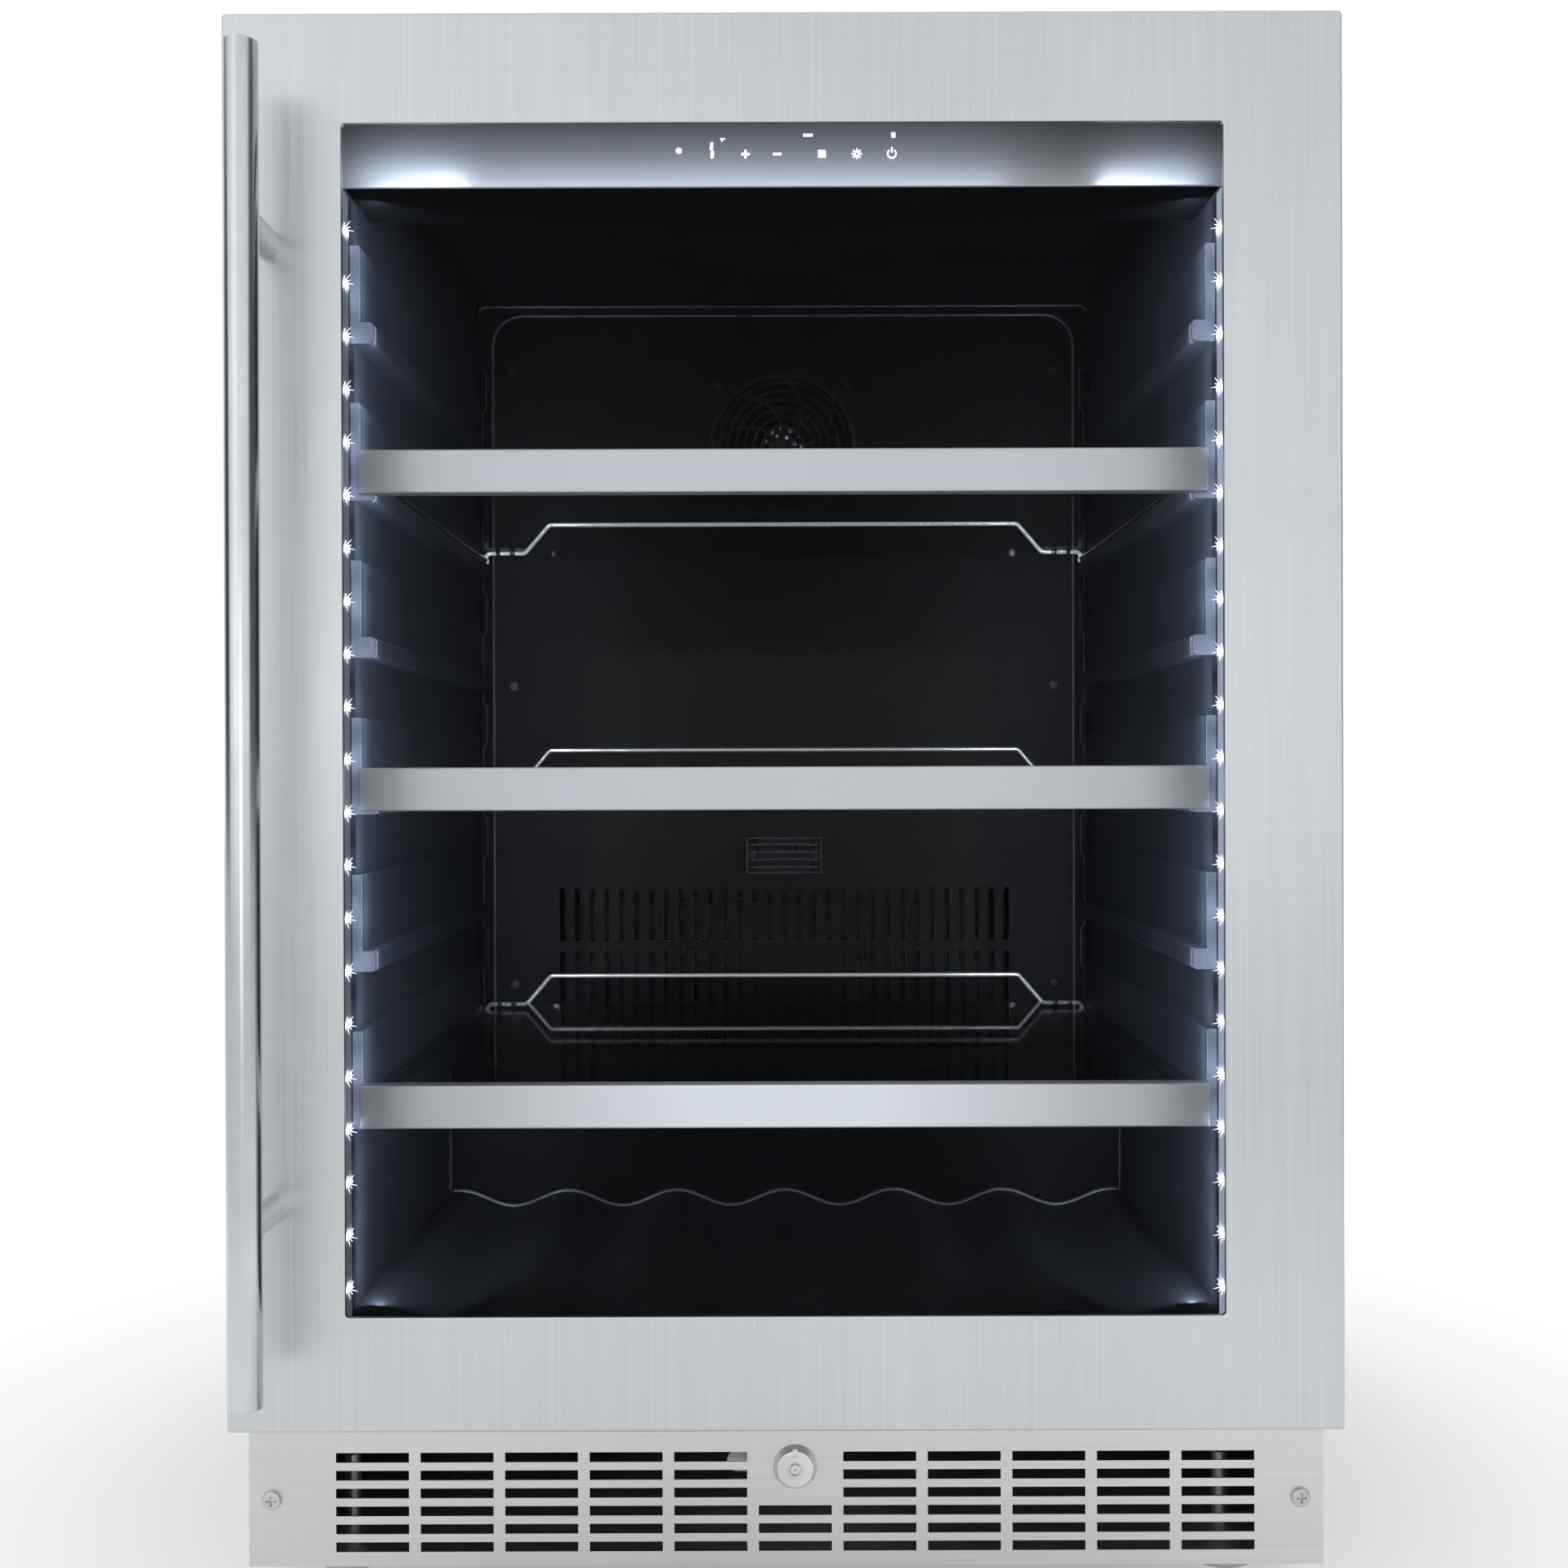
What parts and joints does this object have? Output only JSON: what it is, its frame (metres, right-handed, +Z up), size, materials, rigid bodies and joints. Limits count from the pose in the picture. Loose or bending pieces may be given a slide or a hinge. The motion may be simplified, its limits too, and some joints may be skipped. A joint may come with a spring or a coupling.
{
  "type": "wine cooler",
  "caption": "Built-in under-counter wine cooler: glazed steel-framed door with tube handle, pull-out glass shelves, lit cavity, bottle cradle, locking grille at the foot.",
  "frame": {"origin": "on the floor under the middle of the whole cooler, handle included", "axes": "+X to the right seen from the front, +Y to the back, +Z up"},
  "size_m": [0.597, 0.626, 0.872],
  "materials": {
    "brushed_steel": "vertical brushed grain",
    "satin_steel": "satin",
    "kick_steel": "fine brushed",
    "handle_steel": "polished tube",
    "bright_wire": "polished",
    "lock_metal": "satin chrome",
    "zinc": "zinc plated",
    "black_paint": "fine textured black",
    "black_plastic": "satin black moulding",
    "cover_screw": "black oxide",
    "cap_clear": "frosted",
    "strip_white": "white circuit strip",
    "light": "lit emitter",
    "circuit": "circuit board",
    "smoked_glass": "smoked, polished",
    "door_glass": "lightly tinted, polished",
    "spacer_metal": "black anodised",
    "gasket_rubber": "soft matte",
    "coil_metal": "mill finish",
    "copper": "copper tube",
    "foam": "rigid foam"
  },
  "bodies": {
    "cabinet": {"control_fascia": "satin_steel", "kick_plate": "kick_steel", "lock_escutcheon": "lock_metal", "pan_head_screws": "zinc", "hinge_top": "zinc", "hinge_bottom": "zinc", "machine_deck": "zinc", "base_pan": "zinc", "cabinet_shell": "black_paint", "cabinet_back_panel": "black_paint", "machine_rear_cover": "black_paint", "compressor": "black_paint", "inner_liner": "black_plastic", "evaporator_cover": "black_plastic", "fan_grille": "black_plastic", "sensor_cover": "black_plastic", "bottle_cradle": "black_plastic", "shelf_rail_left": "black_plastic", "shelf_rail_right": "black_plastic", "control_housing": "black_plastic", "evaporator_fan_motor": "black_plastic", "condenser_fan_frame": "black_plastic", "cord_inlet": "black_plastic", "condensate_pan": "black_plastic", "cover_screws": "cover_screw", "rail_end_caps": "cap_clear", "led_channels": "strip_white", "led_chips": "light", "control_board": "circuit", "compressor_mounts": "gasket_rubber", "evaporator_coil": "coil_metal", "condenser_coil": "coil_metal", "refrigerant_lines": "copper", "foam_insulation": "foam"},
    "door": {"door_skin": "brushed_steel", "door_inner_frame": "black_plastic", "door_glass_panes": "door_glass", "door_glass_spacer": "spacer_metal", "door_gasket": "gasket_rubber", "door_strike": "zinc", "hinge_bushings": "black_plastic", "handle_bar": "handle_steel", "handle_posts": "handle_steel"},
    "lock": {"lock_plug": "lock_metal", "lock_cam": "zinc"},
    "evaporator_fan": {"evaporator_fan_rotor": "black_plastic"},
    "condenser_fan": {"condenser_fan_rotor": "black_plastic"},
    "leg_front_left": {"leg_front_left": "zinc"},
    "leg_front_right": {"leg_front_right": "zinc"},
    "leg_rear_left": {"leg_rear_left": "zinc"},
    "leg_rear_right": {"leg_rear_right": "zinc"},
    "shelf_top": {"top_shelf_trim": "satin_steel", "top_shelf_glass": "smoked_glass", "top_shelf_wire": "bright_wire"},
    "shelf_middle": {"middle_shelf_trim": "satin_steel", "middle_shelf_glass": "smoked_glass", "middle_shelf_wire": "bright_wire"},
    "shelf_bottom": {"bottom_shelf_trim": "satin_steel", "bottom_shelf_glass": "smoked_glass", "bottom_shelf_wire": "bright_wire"}
  },
  "joints": [
    {"name": "door_hinge", "type": "hinge", "parent": "cabinet", "child": "door", "pos_m": [0.2865, -0.237, 0.4875], "axis": [0, 0, 1], "range_deg": [0, 110]},
    {"name": "lock_turn", "type": "hinge", "parent": "cabinet", "child": "lock", "pos_m": [0.005, -0.221, 0.0767], "axis": [0, 1, 0], "range_deg": [0, 90]},
    {"name": "evaporator_fan_spin", "type": "hinge", "parent": "cabinet", "child": "evaporator_fan", "pos_m": [0, 0.257, 0.727], "axis": [0, 1, 0], "continuous": true},
    {"name": "condenser_fan_spin", "type": "hinge", "parent": "cabinet", "child": "condenser_fan", "pos_m": [-0.0285, 0.238, 0.098], "axis": [1, 0, 0], "continuous": true},
    {"name": "leg_front_left_extend", "type": "slide", "parent": "cabinet", "child": "leg_front_left", "axis": [0, 0, -1], "range_m": [0, 0.02]},
    {"name": "leg_front_right_extend", "type": "slide", "parent": "cabinet", "child": "leg_front_right", "axis": [0, 0, -1], "range_m": [0, 0.02]},
    {"name": "leg_rear_left_extend", "type": "slide", "parent": "cabinet", "child": "leg_rear_left", "axis": [0, 0, -1], "range_m": [0, 0.02]},
    {"name": "leg_rear_right_extend", "type": "slide", "parent": "cabinet", "child": "leg_rear_right", "axis": [0, 0, -1], "range_m": [0, 0.02]},
    {"name": "shelf_top_slide", "type": "slide", "parent": "cabinet", "child": "shelf_top", "axis": [0, -1, 0], "range_m": [0, 0.09]},
    {"name": "shelf_middle_slide", "type": "slide", "parent": "cabinet", "child": "shelf_middle", "axis": [0, -1, 0], "range_m": [0, 0.09]},
    {"name": "shelf_bottom_slide", "type": "slide", "parent": "cabinet", "child": "shelf_bottom", "axis": [0, -1, 0], "range_m": [0, 0.09]}
  ],
  "couplings": [
    {"joint": "shelf_top_slide", "follows": "door_hinge", "m_per_rad": 0.045},
    {"joint": "shelf_middle_slide", "follows": "door_hinge", "m_per_rad": 0.045},
    {"joint": "shelf_bottom_slide", "follows": "door_hinge", "m_per_rad": 0.045}
  ]
}
